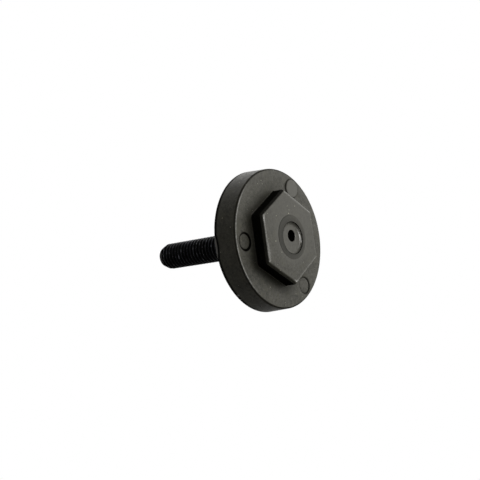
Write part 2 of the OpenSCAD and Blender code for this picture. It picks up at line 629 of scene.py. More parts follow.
@dataclass(frozen=True)
class BlackOxide:
    """Black oxide on steel, a little oily, rubbed on the crests of the thread, whose bluish shine is
    partly a painted highlight.

    Attributes:
        deep: Colour in the roots and on untouched oxide.
        crest: Colour of the rubbed crests, partly a painted bluish highlight.
        steel_glint: Colour where a crest is rubbed down to the steel, partly painted glints.
        roughness: Roughness of the oxide.
        blotch_size: Size of the rubbed and unrubbed places, in millimetres.
        bright_size: Size of the places rubbed down to the steel, partly painted glints, in millimetres.
        fine_size: Size of the oxide's grain, in millimetres.
        fine_depth: Height of that grain, in millimetres.
    """

    deep: Colour = rgb(0.0035, 0.0035, 0.0040)
    crest: Colour = rgb(0.030, 0.033, 0.042)
    steel_glint: Colour = rgb(0.16, 0.17, 0.19)
    roughness: float = 0.42
    blotch_size: float = 4.5
    bright_size: float = 0.9
    fine_size: float = 0.22
    fine_depth: float = 0.008

    def material(self) -> bpy.types.Material:
        """Build the material.

        Returns:
            The material, whose colour, metallic, roughness and bump all vary over the surface.
        """
        made, g = new_material("black_oxide_on_steel")
        blotch = g.noise(self.blotch_size, detail=3.0, rough=0.55, seed=11.0)
        fine = g.noise(self.fine_size, detail=3.0, rough=0.65, seed=12.0)
        crest = g.mark(Mark.CREST)
        # Rubbed crests: lighter and bluish, partly a painted highlight, with painted glints of bare
        # steel
        rubbed_and_highlit = crest * blotch.rise(0.36, 0.62)
        bright = crest * g.noise(self.bright_size, seed=13.0).rise(0.57, 0.70)
        colour = g.mix(rubbed_and_highlit, self.deep, self.crest)
        oiled = g.read(
            "ShaderNodeBsdfPrincipled",
            inputs={
                "Base Color": g.mix(bright * 0.8, colour, self.steel_glint),
                "Metallic": 0.15 + 0.7 * rubbed_and_highlit,
                "Roughness": (self.roughness - 0.06) + 0.16 * fine - 0.10 * rubbed_and_highlit,
                "Specular IOR Level": 0.2,
                "Normal": g.bump(fine + 0.5 * blotch, self.fine_depth, 0.6),
            },
        )
        g.finish(g.mark(Mark.WALL) * 0.95, oiled, self.deep)
        return made


# ---------------------------------------------------------------- pieces


@dataclass(frozen=True)
class Window:
    """A stretch of angles that gets closer columns: middle, half width and step, in degrees."""

    middle: float
    half: float
    step: float

    def angles(self) -> Array:
        """The window's angles, in degrees."""
        return self.middle + np.arange(-self.half, self.half + self.step / 2.0, self.step)


@dataclass(frozen=True)
class EjectorPad:
    """Round mark of an ejector pin on the flange's front face.

    Attributes:
        angle: Its place on the marks' pitch circle.
        radius: Its radius.
        depth: How deep it lies, below 0 if it stands proud.
        line: Strength of the groove along its outline, from 0 to 1, which sets both its depth and its
            painted shade.
        wide_angle: Side on which that groove is widest and its painted shade darkest.
        painted_sheen: How much of the lighter end-face colour its face takes, as a painted sheen.
    """

    angle: float
    radius: float
    depth: float
    line: float
    wide_angle: float
    painted_sheen: float = 0.0


@dataclass
class ThreadedBolt:
    """Steel bolt: hexagon head and neck inside the moulding, and a right-handed metric thread.

    The thread's points lie on a grid that climbs with the helix: the height of point (i, j) is the
    start plus i steps plus j columns' share of one pitch, so each row stays on one place of the
    profile, and column 0 goes on one pitch further up. The fields go up the bolt.
    """

    head_z: float
    tip_z: float
    head_flats: float = 13.0
    head_chamfer: float = 0.6
    under_head_z: float = 9.3
    neck_r: float = 3.6
    start_z: float = 10.9
    # Shank and its thread, whose crests stay just inside the shank's radius
    shank_r: float = 4.0
    major_r: float = 3.98
    root_r: float = 3.213
    pitch: float = 1.25
    crest_share: float = 0.2
    thread_softness: float = 0.06
    tip_l: float = 2.2
    tip_r: float = 2.98
    tip_edge: float = 0.15
    columns: int = 96
    finish: BlackOxide = BlackOxide()
    rings: RingStack = field(init=False, repr=False)

    def __post_init__(self) -> None:
        """Start the skin over even columns."""
        self.rings = RingStack(np.arange(self.columns) * (2 * math.pi / self.columns))

    def add_head(self) -> None:
        """Add the buried hexagon head with its chamfered corners, and the neck."""
        rings, top = self.rings, self.under_head_z
        apothem = self.head_flats / 2
        side = RoundedHexagon(apothem, 0.0).radius(rings.angle)
        rings.add(column(0.0, 0.5, 0.97) * (apothem - 0.2), self.head_z)
        rings.add(np.minimum(side, apothem + 0.02 * side), self.head_z + 0.12)
        rings.add(side, column(self.head_z + self.head_chamfer, top - 0.1, top))
        rings.add(between(self.neck_r, side, column(0.5, 0.05, 0.0)), top)
        rings.add(self.neck_r, column(top + 0.1, self.start_z - 0.05, self.start_z))

    def profile_steps(self) -> Array:
        """Places along one pitch, as shares of it, closer at the crest's edges and the root."""
        half = np.array([0.0, 0.045, 0.0625, 0.08, 0.13, 0.21, 0.29, 0.37, 0.41, 0.45])
        return np.concatenate([half, [0.5], 1.0 - half[:0:-1]])

    def thread_depth(self, share: Array) -> Array:
        """How far up the flank a place on the pitch is, from 0 at the root to 1 at the crest.

        The crest is at share 0. Between crest and root it falls in a straight line at the thread's
        angle, and both ends are rounded: a clamp written as the difference of two rounded corners.

        Args:
            share: Place on the pitch, in pitches.

        Returns:
            The place on the flank.
        """
        away = np.abs(np.mod(share + 0.5, 1.0) - 0.5) * self.pitch
        run = (self.major_r - self.root_r) * math.tan(math.radians(30.0))
        x = (self.crest_share * self.pitch / 2 + run - away) / run
        soft = self.thread_softness
        return (np.hypot(x, soft) - np.hypot(x - 1.0, soft) + 1.0) / 2.0

    def cone(self, height: Values) -> Array:
        """Radius of the tip's cone at a height: it falls in a straight line from the crests."""
        return between(self.major_r, self.tip_r, (height - self.tip_z + self.tip_l) / self.tip_l)

    def thread_end(self) -> float:
        """Height at which the tip's cone has come down to the thread's root."""
        return self.tip_z - self.tip_l * (self.root_r - self.tip_r) / (self.major_r - self.tip_r)

    def add_thread(self) -> None:
        """Add the thread, up to where the tip's cone has cut it away.

        Its first ring lies in the plane of the neck's last one and closes on it. On the cone the
        crests are neither rubbed nor oily.
        """
        end_z, turn = self.thread_end(), self.rings.angle / (2 * math.pi)
        turns = math.ceil((end_z - self.start_z) / self.pitch) + 2
        rows = (np.arange(turns)[:, None] + self.profile_steps()[None, :]).ravel() - 1.0
        height = np.clip(self.start_z + self.pitch * (rows[:, None] + turn), self.start_z, end_z)
        depth = self.thread_depth((height - self.start_z) / self.pitch - turn)
        radius = np.minimum(between(self.root_r, self.major_r, depth), self.cone(height))
        cone_z = self.tip_z - self.tip_l
        on_cone = rise(height, cone_z, cone_z + 0.3)
        marks = {Mark.CREST: rise(depth, 0.80, 0.97) * (1 - on_cone), Mark.WALL: on_cone}
        self.rings.add(radius, height, marks=marks)

    def add_tip(self) -> None:
        """Add the tip: the rest of the cone, its edge as a short arc, and the flat end."""
        edge, dry = self.tip_edge, {Mark.WALL: 1.0}
        lean = math.atan2(self.major_r - self.tip_r, self.tip_l)
        flat_r = self.tip_r - edge * math.tan((math.pi / 2 - lean) / 2)
        cone_z = column(self.thread_end(), self.thread_end() + 0.04)
        self.rings.add(self.cone(cone_z), cone_z, marks=dry)
        rounding = arc(flat_r, self.tip_z - edge, edge, sweep(lean, math.pi / 2, 7))
        self.rings.add(*rounding, marks=dry)
        self.rings.add(flat_r * column(0.97, 0.5, 0.0), self.tip_z, marks=dry)

    def build(self) -> bpy.types.Object:
        """Make the bolt and dress it.

        Returns:
            The finished piece.
        """
        self.add_head()
        neck = self.rings.count()
        self.add_thread()
        thread = self.rings.count()
        self.add_tip()
        count, shift = self.columns, len(self.profile_steps())
        faces = [
            grid_faces(neck + 1, count),
            grid_faces(thread - neck, count, seam_shift=shift) + neck * count,
            grid_faces(self.rings.count() - thread, count) + thread * count,
        ]
        return make_piece("steel_bolt_skin", self.rings, np.concatenate(faces), self.finish.material())


@dataclass
class MouldedHead:
    """Nylon moulding: clamping flange and spanner hexagon in one, closed round the buried steel head.

    Its skin is one closed loop of rings: out of the locating-pin hole, across the centre recess and
    the hexagon's end face, down its sides, across the flange, over the rim, back across the flat
    rear face, into the shank's hole and round the steel head's seat to where it began. The fields
    come in that order. A tuple of six has a value for each of the hexagon's flats, from 30 degrees on.
    """

    bolt: ThreadedBolt
    back_z: float
    # Pin hole, blind down to the steel head, and the pocket and dish round it, with painted highlights
    # on one side of the hole's mouth and the pocket's fillet, and painted shade in the hole, on the
    # pocket's lip and over the dish
    pin_hole_r: float = 1.7
    pin_hole_edge_r: float = 0.15
    pin_hole_shift: Pair = (1.5, 0.6)
    pocket_shift: Pair = (0.9, 1.0)
    pocket_r: float = 4.6
    pocket_depth: float = 0.8
    pocket_floor_r: float = 3.7
    pocket_floor_rise: float = 0.45
    pocket_edge_r: float = 0.08
    pocket_highlight: Patch = Patch(28.0, 60.0, 2.2)
    pocket_highlight_share: Pair = (0.06, 0.36)
    pin_hole_glint: Patch = Patch(28.0, 60.0, 0.7)
    pocket_shade: float = 1.2
    dish_shift: Pair = (0.5, 0.5)
    dish_r: float = 6.4
    dish_depth: float = 0.15
    dish_line: Patch = Patch(240.0, 140.0, 0.4)
    dish_line_share: Pair = (0.86, 0.96)
    dish_tone: Wave = Wave(185.0, 0.33, 0.14)
    # Hexagon, with a painted sheen on its end face, scuffs and painted highlights along its bevelled
    # edge and painted shade on its flats and bevel. A share of the bevel's height says where a mark
    # changes on it.
    hexagon: RoundedHexagon = RoundedHexagon(12.0, 0.9)
    hex_h: float = 3.8
    hex_bevel: float = 0.5
    hex_bevel_h: float = 0.75
    hex_soft: Pair = (0.3, 0.2)
    hex_foot_r: float = 0.3
    # Painted sheen: the end face is lighter towards 330 degrees and darker opposite
    hex_sheen: Wave = Wave(330.0, 0.58, 0.45)
    hex_wear_and_highlight: tuple[float, ...] = (0.05, 0.25, 0.0, 0.38, 0.0, 0.3)
    hex_wear_and_highlight_w: float = 0.4
    wide_wear_and_highlight: Patch = Patch(192.0, 22.0, 0.9)
    corner_wear_and_highlight: tuple[Patch, ...] = (Patch(238.0, 9.0, 0.8), Patch(121.0, 5.0, 1.2))
    bevel_wear_and_highlight_share: float = 0.333
    hex_bevel_shade: tuple[float, ...] = (0.0, 0.0, 0.3, 0.65, 0.9, 0.0)
    bevel_shade_share: float = 0.25
    bevel_wall_share: Pair = (0.8, 1.133)
    # Flange's front face, with a painted sheen near the rim, painted shadow round the hexagon's foot
    # and the ejector marks, whose grooves carry painted shade
    flange_r: float = 20.3
    flange_sheen: Patch = Patch(320.0, 150.0, 0.6)
    flange_sheen_w: float = 3.0
    foot_shadow: tuple[float, ...] = (0.1, 0.3, 0.8, 0.4, 0.55, 0.1)
    foot_shadow_w: float = 4.4
    pad_pitch_r: float = 16.6
    pad_shift: Pair = (0.4, 0.3)
    pad_step_w: float = 0.14
    pad_groove_w: float = 0.30
    pad_groove_swing: float = 0.35
    pad_groove_depth: float = 0.18
    pads: tuple[EjectorPad, ...] = (
        EjectorPad(90.0, 2.4, 0.15, 0.495, 60.0),
        EjectorPad(210.0, 2.4, 0.15, 0.945, 60.0),
        EjectorPad(330.0, 2.8, -0.25, 0.4, 210.0, painted_sheen=1.8),
    )
    # Rim: draft, roundings, scuffs and painted highlights in front, painted shade in the front rounding
    # and in a line at the back, cut-off gate with a painted shadow along its step, and chip
    rim_draft: float = 0.397
    front_edge_r: float = 0.5
    back_edge_r: float = 0.3
    rim_wear_and_highlight: Stretch = Stretch(212.0, 27.0, 57.0, 0.6)
    rim_wear_and_highlight_w: float = 0.5
    front_wear_and_highlight_turn: Pair = (-1.1, -1.6)
    front_shade: float = 0.62
    front_shade_turn: float = -0.9
    back_shade: Stretch = Stretch(205.0, 60.0, 110.0, 0.85)
    back_shade_start: Pair = (1.2, 0.8)
    back_shade_fade: Pair = (0.5, 0.2)
    gate_angle: float = 209.0
    gate_r: float = 11.0
    gate_reach: float = 1.4
    gate_depth: float = 0.25
    gate_step_w: float = 0.22
    gate_shadow_in: float = 0.33
    gate_shadow_w: float = 0.8
    gate_bare_in: Pair = (0.6, 0.75)
    chip_angle: float = 165.0
    chip_r: float = 0.7
    chip_out: float = 0.4
    chip_reach: float = 0.8
    chip_wear: float = 2.5
    # Room for the steel
    hole_edge_r: float = 0.08
    gap: float = 0.02
    finish: MouldedNylon = MouldedNylon()
    rings: RingStack = field(init=False, repr=False)

    def __post_init__(self) -> None:
        """Start the skin over its columns."""
        self.rings = RingStack(self.columns())

    def columns(self) -> Array:
        """Angles of the columns: even steps all round, closer over the pads, corners and rim marks.

        Returns:
            The angles, in radians, from 0 and rising.
        """
        pads = [math.degrees(math.atan2(y, x)) for x, y in map(self.pad_middle, self.pads)]
        windows = [Window(180.0, 180.0, 2.4)]
        windows += [Window(angle, 10.2, 0.38) for angle in pads]
        windows += [Window(60.0 * k, 3.6, 0.9) for k in range(6)]
        windows += [Window(self.gate_angle, 16.5, 0.5), Window(self.chip_angle, 2.5, 0.3)]
        degrees = np.mod(np.concatenate([w.angles() for w in windows]), 360.0)
        degrees = np.unique(np.round(degrees, 3))
        apart = np.diff(degrees, append=360.0 + degrees[0]) > 0.12
        return np.radians(degrees[apart])

    def pad_middle(self, pad: EjectorPad) -> Pair:
        """Middle of an ejector mark, on a pitch circle that stands a little off the axis."""
        turn = math.radians(pad.angle)
        across, along = self.pad_shift
        return across + self.pad_pitch_r * math.cos(turn), along + self.pad_pitch_r * math.sin(turn)

    def add_centre(self) -> None:
        """Add the pin hole, the pocket and the dish round it, from the steel head outwards.

        Across the pocket's floor the rings go evenly from the hole's circle to the pocket's, and their
        centres go with them. The floor curves up to the wall on the circle that is level with the flat
        part and passes through the wall's foot. The dish falls with the power 1.5 of the way in.
        """
        rings, hole, pocket = self.rings, self.pin_hole_shift, self.pocket_shift
        hole_r, edge = self.pin_hole_r, self.pin_hole_edge_r
        foot_z, mouth_z = self.bolt.head_z - self.gap, self.pocket_depth + edge
        # Painted shade down the pin hole's walls
        deep = {Mark.WALL: column(1.0, 1.0, 1.0, 1.0, 0.9)}
        rings.add(hole_r, column(foot_z, foot_z - 0.1, 2.6, 1.4, mouth_z + 0.03), hole, deep)
        out, up = quarter(8)
        # Painted glint on one side of the hole's mouth
        marks = {Mark.WEAR_AND_HIGHLIGHT: self.pin_hole_glint.at(rings.angle), Mark.FACE: 1.0}
        rings.add(hole_r + edge * out, mouth_z - edge * up, hole, marks)

        floor_r, lift = self.pocket_floor_r, self.pocket_floor_rise
        share = column(0.02, 0.2, 0.4, 0.6, 0.8, 0.97)
        centre = [between(h, p, share) for h, p in zip(hole, pocket)]
        rings.add(between(hole_r + edge, floor_r, share), self.pocket_depth, centre, {Mark.FACE: 1.0})
        run = self.pocket_r - floor_r
        curve_r = (run**2 + lift**2) / (2 * lift)
        turn = sweep(0.0, math.asin(run / curve_r), 12)
        # Painted highlight on the pocket's fillet, on one side
        wear_and_highlight = self.pocket_highlight.at(rings.angle) * rise(turn / turn[-1], *self.pocket_highlight_share)
        curve_z = self.pocket_depth - curve_r * (1 - np.cos(turn))
        marks = {Mark.WEAR_AND_HIGHLIGHT: wear_and_highlight, Mark.FACE: 1.0}
        rings.add(floor_r + curve_r * np.sin(turn), curve_z, pocket, marks)

        # Painted shade on the pocket's wall and lip
        lip, dark = self.pocket_edge_r, {Mark.SHADE_PATCH: self.pocket_shade}
        lip_z = self.dish_depth + lip
        rings.add(self.pocket_r, column(self.pocket_depth - lift - 0.03, lip_z + 0.03), pocket, dark)
        out, up = quarter(6)
        rings.add(self.pocket_r + lip * out, lip_z - lip * up, pocket, dark)
        share = sweep(0.04, 1.0, 10)
        centre = [between(p, d, share) for p, d in zip(pocket, self.dish_shift)]
        # Painted shade over the dish: darker towards one side, and along the pocket's mouth on another
        line = self.dish_line.at(rings.angle) * rise(share, *self.dish_line_share)
        tone = self.dish_tone.at(rings.angle) + 0.1 * hump(share)
        marks = {Mark.SHADE_PATCH: tone + line, Mark.FACE: 1.0}
        radius = between(self.pocket_r + lip, self.dish_r, share)
        rings.add(radius, self.dish_depth * (1 - share) ** 1.5, centre, marks)

    def add_hexagon(self) -> None:
        """Add the hexagon: end face, bevelled edge, flats and the small fillet at their foot.

        The bevel's section runs along the outline, which is drawn in by the section's inset. Scuffs and
        painted highlights reach in over the end face by a width that swells at one flat, and end down
        the bevel. A painted sheen lightens the end face on one side, and painted shade darkens the
        flats and the bevel of some flats.
        """
        angle = self.rings.angle
        inset, height = self.bevel_profile()
        sheen, edge_scuff_and_highlight = self.hex_sheen.at(angle), self.edge_wear_and_highlight(angle)
        end = self.hexagon.radius(angle, inset[0, 0])
        share = np.concatenate([column(0.012, 0.03, 0.12, 0.3, 0.55, 0.8), sweep(0.88, 0.99, 6)])
        centre = [shift * (1 - share) for shift in self.dish_shift]
        radius = between(self.dish_r, end, share)
        # Scuffs and painted highlights in a band along the end face's edge
        wear_and_highlight = rise(radius, end - self.hex_wear_and_highlight_w - self.wide_wear_and_highlight.at(angle), end) * edge_scuff_and_highlight
        marks = {Mark.FACE: between(1.0, sheen, rise(share, 0.0, 0.5)), Mark.WEAR_AND_HIGHLIGHT: wear_and_highlight}
        self.rings.add(radius, 0.0, centre, marks)

        down = height / self.hex_bevel_h
        # Painted shade on the bevel of some flats, and near-black matt down its foot
        painted_shade = self.by_flat(angle, self.hex_bevel_shade) * rise(down, 0.0, self.bevel_shade_share)
        marks = {
            Mark.FACE: sheen,
            Mark.WALL: np.maximum(rise(down, *self.bevel_wall_share), painted_shade),
            Mark.WEAR_AND_HIGHLIGHT: rise(down, self.bevel_wear_and_highlight_share, 0.0) * edge_scuff_and_highlight,
        }
        self.rings.add(self.hexagon.radius(angle, inset), height, marks=marks)
        foot = self.hex_foot_r
        side_z = column(height[-1, 0] + 0.04, 1.6, 2.4, 3.1, self.hex_h - foot - 0.04)
        # Painted shade: the flats and their foot fillet are a near-black matt
        self.rings.add(self.hexagon.radius(angle), side_z, marks={Mark.WALL: 1.0})
        out, up = quarter(6)
        fillet = self.hexagon.radius(angle, -foot * out)
        self.rings.add(fillet, self.hex_h - foot * (1 - up), marks={Mark.WALL: 1 - out})

    def bevel_profile(self) -> tuple[Array, Array]:
        """Section of the hexagon's edge: a straight bevel whose two corners are rounded.

        Each corner is a quadratic curve that leaves along one leg and arrives along the other.

        Returns:
            How far the outline is drawn in, and the height, both as columns from the end face down.
        """
        run, drop = self.hex_bevel, self.hex_bevel_h
        slope = np.array([-run, drop]) / math.hypot(run, drop)
        first, last = self.hex_soft
        top, foot = np.array([run, 0.0]), np.array([0.0, drop])
        bends = [
            (top + [first, 0.0], top, top + first * slope),
            (foot - last * slope, foot, foot + [0.0, last]),
        ]
        t = sweep(0.0, 1.0, 6)
        curves = [(1 - t) ** 2 * a + 2 * t * (1 - t) * b + t**2 * c for a, b, c in bends]
        points = np.concatenate(curves)
        return points[:, :1], points[:, 1:]

    def edge_wear_and_highlight(self, angle: Array) -> Array:
        """Scuffs and painted highlights on the hexagon's edge: a share for each flat, and more at two
        corners.
        """
        rubbed_and_highlit = sum(patch.at(angle) for patch in self.corner_wear_and_highlight)
        return np.minimum(self.by_flat(angle, self.hex_wear_and_highlight) + rubbed_and_highlit, 1.0)

    @staticmethod
    def by_flat(angle: Array, values: tuple[float, ...]) -> Array:
        """Pick each angle's value from one for each of the hexagon's flats."""
        return np.array(values)[np.floor(np.mod(angle, 2 * math.pi) / (math.pi / 3)).astype(int) % 6]

    def add_flange_face(self) -> None:
        """Add the flange's front face with its ejector marks.

        The rings go evenly from the hexagon's foot to the circle where the rim's rounding starts.
        Each mark is a steep step at its radius, with a narrow groove along its outline: the depth is
        a soft step over the distance from the mark's middle plus a bell over the groove. The groove
        carries painted shade, darkest on one side, and a proud pad's face a painted sheen. Painted
        shadow lies round the hexagon's foot, and painted sheen near the rim on one side.
        """
        angle = self.rings.angle
        start = self.hexagon.radius(angle, -self.hex_foot_r)
        end, _ = self.front_middle()
        share = np.concatenate([column(0.006), sweep(0.03, 0.985, 60), column(0.996)])
        radius = between(start, end, share)
        x, y = radius * np.cos(angle), radius * np.sin(angle)
        depth, painted_shade_line = np.zeros_like(radius), np.zeros_like(radius)
        # Painted sheen near the rim, lighter on one side
        sheen = self.flange_sheen.at(angle) * rise(radius, end - self.flange_sheen_w, end)
        for pad in self.pads:
            middle_x, middle_y = self.pad_middle(pad)
            inside = pad.radius - np.hypot(x - middle_x, y - middle_y)
            side = np.cos(np.arctan2(y - middle_y, x - middle_x) - math.radians(pad.wide_angle))
            width = self.pad_groove_w * (1 + self.pad_groove_swing * side)
            line = pad.line * hump(inside / (2 * width))
            depth += pad.depth * rise(inside, -self.pad_step_w / 2, self.pad_step_w / 2)
            depth += self.pad_groove_depth * line
            # Painted shade in the groove, darker on its wide side
            painted_shade_line = np.maximum(painted_shade_line, rise(line * (1.3 + 0.2 * side), 0.0, 1.0))
            # Painted sheen on a proud pad's face
            sheen = np.maximum(sheen, pad.painted_sheen * rise(inside, 0.0, 0.3))
        # Painted shadow round the hexagon's foot, set for each flat
        flats = 30.0 + 60.0 * np.arange(6)
        painted_shade = np.interp(np.degrees(angle), flats, self.foot_shadow, period=360.0)
        marks = {
            Mark.SHADE_LINE: painted_shade_line,
            Mark.SHADE_PATCH: painted_shade * rise(radius, start + self.foot_shadow_w, start),
            Mark.WEAR_AND_HIGHLIGHT: self.rim_wear_and_highlight.at(angle) * rise(radius, end - self.rim_wear_and_highlight_w, end),
            Mark.FACE: sheen,
        }
        self.rings.add(radius, self.hex_h + depth, marks=marks)

    def rim_lean(self) -> float:
        """Angle by which the rim leans out towards the back, in radians."""
        return math.atan2(self.rim_draft, self.back_z - self.hex_h)

    def front_middle(self) -> Pair:
        """Middle of the rim's front rounding: its radius from the axis and its height."""
        half = (math.pi / 2 - self.rim_lean()) / 2
        return self.flange_r - self.front_edge_r * math.tan(half), self.hex_h + self.front_edge_r

    def back_middle(self) -> Pair:
        """Middle of the rim's back rounding: its radius from the axis and its height."""
        half = (math.pi / 2 + self.rim_lean()) / 2
        out = self.flange_r + self.rim_draft - self.back_edge_r * math.tan(half)
        return out, self.back_z - self.back_edge_r

    def add_rim(self) -> None:
        """Add the rim: front rounding, leaning side, back rounding, with the gate's cut and the chip.

        Painted shade lies in the front rounding and in a line just short of the back face, and a
        painted shadow along the gate's step; the gate is otherwise bare of it. In the chip painted
        shade only rims the broken place, which is scuffed in its middle. Scuffs and a painted highlight
        lie on one side of the front rounding.
        """
        angle, lean = self.rings.angle, self.rim_lean()
        turn = sweep(-math.pi / 2, -lean, 9)
        front_r, front_z = arc(*self.front_middle(), self.front_edge_r, turn)
        # Painted shade in the front rounding
        painted_shade = self.front_shade * rise(np.abs(turn - self.front_shade_turn), 0.8, 0.3)
        # Scuffs and painted highlight on the front rounding, on one side
        wear_and_highlight = self.rim_wear_and_highlight.at(angle) * rise(turn, *self.front_wear_and_highlight_turn)
        marks = {Mark.WEAR_AND_HIGHLIGHT: wear_and_highlight, Mark.SHADE_LINE: painted_shade}
        self.rings.add(front_r, front_z, marks=marks)

        back_r, back_z = arc(*self.back_middle(), self.back_edge_r, sweep(-lean, math.pi / 2, 12))
        share = np.concatenate([column(0.01, 0.08, 0.2, 0.35, 0.5, 0.62, 0.7), sweep(0.74, 0.99, 14)])
        side_z = between(front_z[-1, 0], back_z[0, 0], share)
        radius = np.concatenate([between(front_r[-1, 0], back_r[0, 0], share), back_r])
        height = np.concatenate([side_z, back_z])
        to_back = np.concatenate([self.back_z - side_z, 0 * back_z])
        # Painted shade in a line just short of the back face
        line = rise(to_back, *self.back_shade_start) * (1 - 0.4 * rise(to_back, *self.back_shade_fade))
        radius, gate, gate_shadow = self.cut_gate(radius, height)
        painted_shade = np.maximum(gate_shadow, self.back_shade.at(angle) * line * (1 - gate))
        radius, bite = self.break_chip(radius, height)
        # Painted shade round the chip's broken place
        chip_shade = rise(bite, 0.0, 0.125) * rise(bite, 0.533, 0.2)
        marks = {
            Mark.GATE: gate,
            Mark.WEAR_AND_HIGHLIGHT: self.chip_wear * rise(bite, 0.25, 0.75),
            Mark.SHADE_LINE: np.maximum(painted_shade * rise(bite, 0.333, 0.0), chip_shade),
        }
        self.rings.add(radius, height, marks=marks)

    def cut_gate(self, radius: Array, height: Array) -> tuple[Array, Array, Array]:
        """Hold the rim to the gate's depth inside the gate's round outline over the back edge.

        Args:
            radius: Radius of the rim's points.
            height: Height of the rim's points.

        Returns:
            The cut radii, how far each point is in the cut, and a painted shadow line along its
            outline.
        """
        aside = np.radians(degrees_from(self.rings.angle, self.gate_angle))
        across = np.where(np.abs(aside) < 1.0, radius * np.sin(aside), math.inf)
        inside = self.gate_r - np.hypot(across, height - self.back_z - self.gate_r + self.gate_reach)
        floor = np.minimum(radius, self.flange_r + self.rim_draft - self.gate_depth)
        cut = between(radius, floor, rise(inside, 0.0, self.gate_step_w))
        # Painted shadow of the cut's step, as a dark line along its outline
        line = rise(hump((inside - self.gate_shadow_in) / self.gate_shadow_w), 0.0, 0.625)
        return cut, rise(inside, *self.gate_bare_in), line

    def break_chip(self, radius: Array, height: Array) -> tuple[Array, Array]:
        """Push the points inside the chip's ball, which bites into the back edge, to its surface.

        Args:
            radius: Radius of the rim's points.
            height: Height of the rim's points.

        Returns:
            The moved radii, and how far inside the chip each point is, from 0 to 1.
        """
        aside = np.radians(degrees_from(self.rings.angle, self.chip_angle))
        ball_r = self.flange_r + self.rim_draft + self.chip_out
        away = np.hypot(ball_r * aside, height - self.back_z + self.chip_reach)
        floor = ball_r - np.sqrt(np.maximum(self.chip_r**2 - away**2, 0.0))
        return np.minimum(radius, floor), rise(radius - floor, 0.0, self.chip_r - self.chip_out)

    def add_back(self) -> None:
        """Add the flat rear face, the hole round the shank and the seat of the buried steel head."""
        rings, bolt, edge = self.rings, self.bolt, self.hole_edge_r
        rim_r, _ = self.back_middle()
        hole_r, neck_r = bolt.shank_r + self.gap, bolt.neck_r + self.gap
        share = column(0.004, 0.03, 0.25, 0.5, 0.75, 0.97, 0.99)
        rings.add(between(rim_r, hole_r + edge, share), self.back_z)
        out, up = quarter(5)
        rings.add(hole_r + edge * (1 - up), self.back_z - edge * out)
        step_z = bolt.start_z - self.gap
        rings.add(column(hole_r, neck_r, neck_r), column(step_z, step_z, bolt.under_head_z + 0.1))
        seat = RoundedHexagon(bolt.head_flats / 2 + self.gap, 0.0).radius(rings.angle)
        top, bottom = bolt.under_head_z + self.gap, bolt.head_z - self.gap
        rings.add(between(neck_r, seat, column(0.0, 0.4, 1.0)), top)
        rings.add(seat, column(top - 0.1, 6.5, bottom + 0.1, bottom))
        share = column(0.4, 0.8)
        centre = [shift * share for shift in self.pin_hole_shift]
        rings.add(between(seat, self.pin_hole_r, share), bottom, centre)

    def build(self) -> bpy.types.Object:
        """Make the moulding and dress it.

        Returns:
            The finished piece.
        """
        self.add_centre()
        self.add_hexagon()
        self.add_flange_face()
        self.add_rim()
        self.add_back()
        faces = grid_faces(self.rings.count(), self.rings.angle.size, close_rings=True)
        return make_piece("moulded_head_skin", self.rings, faces, self.finish.material())


# ---------------------------------------------------------------- studio


def direction(azimuth: float, elevation: float) -> Vector:
    """Unit vector at an azimuth from +X and an elevation above the floor, both in degrees."""
    a, e = math.radians(azimuth), math.radians(elevation)
    return Vector((math.cos(a) * math.cos(e), math.sin(a) * math.cos(e), math.sin(e)))


@dataclass(frozen=True)
class SoftLamp:
    """A square soft lamp that looks at the object's middle.

    Attributes:
        name: Name of the lamp.
        azimuth: Where it stands round the object.
        elevation: How high it stands, in degrees; below 0 it is under the floor.
        distance: How far it stands, in metres.
        size: Side of the lamp, in metres.
        level: Light on a surface that faces it, as a share of a plain white surround.
    """

    name: str
    azimuth: float
    elevation: float
    distance: float
    size: float
    level: float

    def place(self, target: Vector) -> None:
        """Make the lamp.

        The power follows from the level: a square of side s at distance d that lights a facing
        surface as a white surround would, times the level, needs pi squared times d squared watts.

        Args:
            target: The point that it looks at.
        """
        away = direction(self.azimuth, self.elevation)
        lamp = bpy.data.lights.new(self.name, "AREA")
        lamp.shape = "SQUARE"
        lamp.size = self.size
        lamp.energy = self.level * (math.pi * self.distance) ** 2
        made = bpy.data.objects.new(self.name, lamp)
        made.location = target + away * self.distance
        made.rotation_mode = "QUATERNION"
        made.rotation_quaternion = away.to_track_quat("Z", "Y")
        made.visible_camera = False
        bpy.context.scene.collection.objects.link(made)


